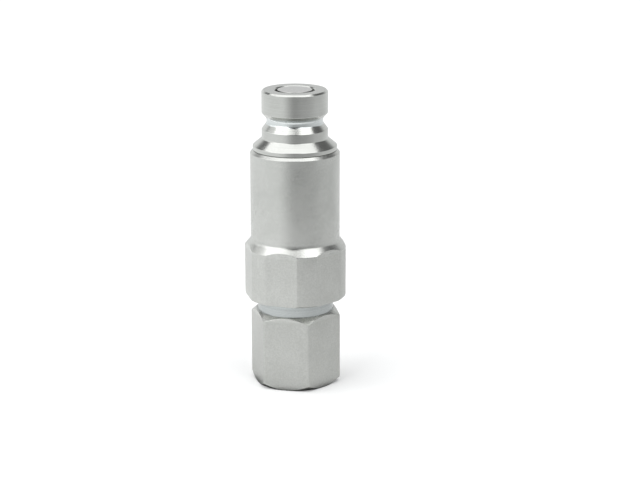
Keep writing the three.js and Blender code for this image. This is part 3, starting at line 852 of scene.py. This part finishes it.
def turned_polymer(name):
    """Cream PTFE with faint turning lines."""
    n = MaterialNodes(name)
    x, y, z = n.position()
    lines = n.noise(n.combine(n.from_axis(x, y), 0.0, z), 6, 3)
    n.set("Base Color", n.mix(lines, (0.68, 0.66, 0.58, 1), (0.82, 0.80, 0.73, 1)))
    n.set("Roughness", n.remap(lines, to=(0.42, 0.6)))
    n.set("Subsurface Weight", 0.1)
    n.set("Normal", n.bump(lines, 0.005))
    return n.material


# ---------------------------------------------------------------- putting the pieces together
def place(piece, node, body, finish):
    """Shows a piece for its CAD node, riding on a body, with a finish of (material slot, material); the
    material slot is not used.
    """
    slot, material = finish
    piece.data.materials.clear()
    piece.data.materials.append(material)
    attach(piece, body)
    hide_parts(node)
    return piece


add_camera()

PLATE_LIGHT, PLATE_DARK = (0.62, 0.63, 0.61, 1), (0.50, 0.51, 0.49, 1)
NUT_LIGHT, NUT_DARK = (0.58, 0.59, 0.57, 1), (0.465, 0.475, 0.455, 1)
GROUND_LIGHT, GROUND_DARK = (0.68, 0.68, 0.67, 1), (0.58, 0.58, 0.57, 1)
# Painted light, each as (bottom, top, tint): a bright tint paints reflected light into the ball groove, and
# a darker bluish tint paints shade and bounce light onto the neck.
BALL_GROOVE_PAINTED_LIGHT = (99.4, 102.2, (0.76, 0.80, 0.80, 1))
NECK_PAINTED_LIGHT = (LOWER_HEX_TOP + 0.05, 34, (0.50, 0.53, 0.53, 1))

NOSE_PLATE = ("plated_steel", turned_steel("plated_nose", PLATE_LIGHT, PLATE_DARK, 0.2, painted_light=BALL_GROOVE_PAINTED_LIGHT))
BARREL_PLATE = ("plated_steel", turned_steel("plated_barrel", PLATE_LIGHT, PLATE_DARK, 0.27, nut_top=52.4))
ADAPTER_PLATE = ("plated_steel", turned_steel("plated_adapter", NUT_LIGHT, NUT_DARK, 0.27, 27, NECK_PAINTED_LIGHT))
GROUND = ("ground_steel", turned_steel("ground_steel", GROUND_LIGHT, GROUND_DARK, 0.2))
WIRE = ("spring_steel", wire_steel("spring_steel"))
RUBBER = ("seal_rubber", moulded_rubber("seal_rubber"))
POLYMER = ("backup_polymer", turned_polymer("backup_polymer"))

# Name, CAD node, body, finish, what makes the piece, and the sizes that it takes: an O-ring's section
# radius, a collar's inner radius, and a spider's hub bore, hub radius, rim bore, rim ends and webs.
PIECES = (
    ("nose_shell", "nose_body", "housing", NOSE_PLATE, nose_body),
    ("barrel_shell", "barrel_body", "housing", BARREL_PLATE, barrel_body),
    ("adapter_shell", "end_adapter", "housing", ADAPTER_PLATE, end_adapter),
    ("nose_seal", "nose_o_ring", "housing", RUBBER, o_ring, 0.8),
    ("nose_backup", "nose_backup_ring", "housing", POLYMER, collar, 11.7),
    ("adapter_seal", "adapter_o_ring", "housing", RUBBER, o_ring, 0.8),
    ("adapter_backup", "adapter_backup_ring", "housing", POLYMER, collar, 11.5),
    ("stem_guide", "front_guide", "housing", GROUND, spider, 2.9, 4.8, 9.3, 71, 75.7, 4),
    ("valve_seat", "valve_seat_ring", "housing", GROUND, seat_ring),
    ("seat_seal", "seat_ring_o_ring", "housing", RUBBER, o_ring, 0.8),
    ("tail_guide", "rear_guide", "housing", GROUND, spider, 4, 5.2, 7.6, 31.3, 36, 3),
    ("circlip", "retaining_ring", "housing", WIRE, retaining_ring),
    ("front_poppet_body", "front_poppet", "front_valve", GROUND, front_poppet),
    ("poppet_seal", "front_poppet_seal", "front_valve", RUBBER, o_ring, 1),
    ("poppet_backup", "front_seal_backup_ring", "front_valve", POLYMER, collar, 5.75),
    ("check_poppet_body", "check_poppet", "check_valve", GROUND, check_poppet),
    ("check_seal", "check_poppet_seal", "check_valve", RUBBER, o_ring, 1.1),
    ("check_retainer", "check_seal_retainer", "check_valve", GROUND, collar, 4.3),
    ("relief_plug", "relief_spring_retainer", "check_valve", GROUND, collar, 0.9),
    ("relief_pin_body", "relief_pin", "relief_valve", GROUND, relief_pin),
    ("pin_seal", "relief_pin_seal", "relief_valve", RUBBER, o_ring, 0.45, 48, 14),
)
for name, node, body, finish, make, *sizes in PIECES:
    place(make(name, node, *sizes), node, body, finish)

# Name, CAD node, body, joint, bottom, top, coil radius, wire radius and turns of each spring.
SPRINGS = (
    ("front_coil", "front_spring", "housing", "front_poppet_slide", 76, 101.2, 6.2, 0.6, 7),
    ("check_coil", "check_spring", "housing", "check_poppet_slide", 36.3, 60.2, 6.2, 0.7, 6.5),
    ("relief_coil", "relief_spring", "check_valve", "relief_pin_slide", 50, 62.9, 1.7, 0.35, 7),
)
for name, node, body, joint, bottom, top, coil_r, wire_r, turns in SPRINGS:
    coil = place(spring_mesh(name, coil_r, wire_r, bottom, top, turns), node, body, WIRE)
    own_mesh(coil)


# ---------------------------------------------------------------- stage
def paper_material():
    """White paper that fades out at its rim. The metal sees it with painted shade, darker towards the right,
    and a painted shadow round the coupler's base.
    """
    n = MaterialNodes("floor_paper")
    x, y, z = n.position()
    place, radius = n.combine(x, y, z), n.from_axis(x, y)
    fibre = n.noise(place, 0.6, 3)
    n.set("Base Color", n.mix(fibre, (0.95, 0.955, 0.96, 1), (0.97, 0.972, 0.975, 1)))
    n.set("Roughness", 0.8)
    n.set("Specular IOR Level", 0.0)
    n.set("Emission Color", (1, 1, 1, 1))
    n.set("Emission Strength", 0.08)
    # Painted shade: the floor seen by the metal darkens towards the right.
    across = n.remap(n.dot(place, CAMERA_RIGHT), over=(-FLOOR_HALF_WIDTH, FLOOR_HALF_WIDTH))
    painted_side_shade = n.ramp(across, ((0, FLOOR_LEFT), (0.5, FLOOR_MIDDLE), (1, FLOOR_RIGHT)))
    # Painted shadow: the floor that the metal sees goes dark round the coupler's base.
    painted_base_shadow = n.remap(radius, over=CONTACT_EDGE, to=(CONTACT_SHADE, 1))
    reflected = n.add("BsdfDiffuse")
    n.feed(reflected.inputs["Color"], n.mix(painted_base_shadow, (0, 0, 0, 1), painted_side_shade))
    paper = n.for_camera(reflected, n.shader)
    n.surface(n.mix_shaders(n.remap(radius, over=FLOOR_FADE), paper, n.add("BsdfTransparent")))
    return n.material


def add_floor():
    corners = 96
    rim = [around(TAU * i / corners, FLOOR_R, 0) for i in range(corners)]
    mesh = bpy.data.meshes.new("floor")
    mesh.from_pydata(rim, [], [tuple(range(corners))])
    mesh.materials.append(paper_material())
    floor = bpy.data.objects.new("floor", mesh)
    bpy.context.scene.collection.objects.link(floor)


def add_world():
    """White backdrop for the camera. The metal sees a light tent, dark above it and bright well below."""
    world = bpy.data.worlds.new("studio")
    world.use_nodes = True
    bpy.context.scene.world = world
    n = Nodes(world.node_tree)
    ray = n.add("TexCoord").outputs["Generated"]
    near = n.math("MULTIPLY", n.dot(ray, CAMERA_AWAY), -1)
    azimuth = n.math("ARCTAN2", n.dot(ray, CAMERA_RIGHT), near)
    stops = [((degrees + 180) / 360, level) for degrees, level in TENT]
    tent = n.ramp(n.remap(azimuth, over=(-math.pi, math.pi)), stops)
    up = n.dot(ray, (0, 0, 1))
    wall = n.math("MULTIPLY", tent, n.remap(up, over=TENT_TOP, to=(1, ROOM_ABOVE), smooth=True))
    sweep = n.remap(up, over=SWEEP_TOP, to=(SWEEP_BELOW, 0), smooth=True)
    room = n.tree.nodes["Background"]
    n.feed(room.inputs["Color"], (0.99, 1.0, 1.0, 1))
    n.feed(room.inputs["Strength"], n.math("MAXIMUM", wall, sweep))
    backdrop = n.add("Background")
    n.feed(backdrop.inputs["Color"], (1, 1, 1, 1))
    n.feed(backdrop.inputs["Strength"], BACKDROP)
    n.feed(n.tree.nodes["World Output"].inputs["Surface"], n.for_camera(room, backdrop).outputs[0])


def add_lamp(name, azimuth, elevation, width, height, radiance):
    """Rectangular lamp that faces the middle of the object and isn't seen itself."""
    data = bpy.data.lights.new(name, "AREA")
    data.shape = "RECTANGLE"
    data.size, data.size_y = width, height
    data.energy = radiance * math.pi * width * height
    lamp = aim(data, LAMP_AIM, towards(CAMERA_AZIMUTH + azimuth, elevation), LAMP_DISTANCE)
    lamp.visible_camera = False


add_floor()
add_world()
for lamp in LAMPS:
    add_lamp(*lamp)

view = bpy.context.scene.view_settings
view.view_transform = "Standard"
view.look = "None"
view.exposure = 0
view.gamma = 1
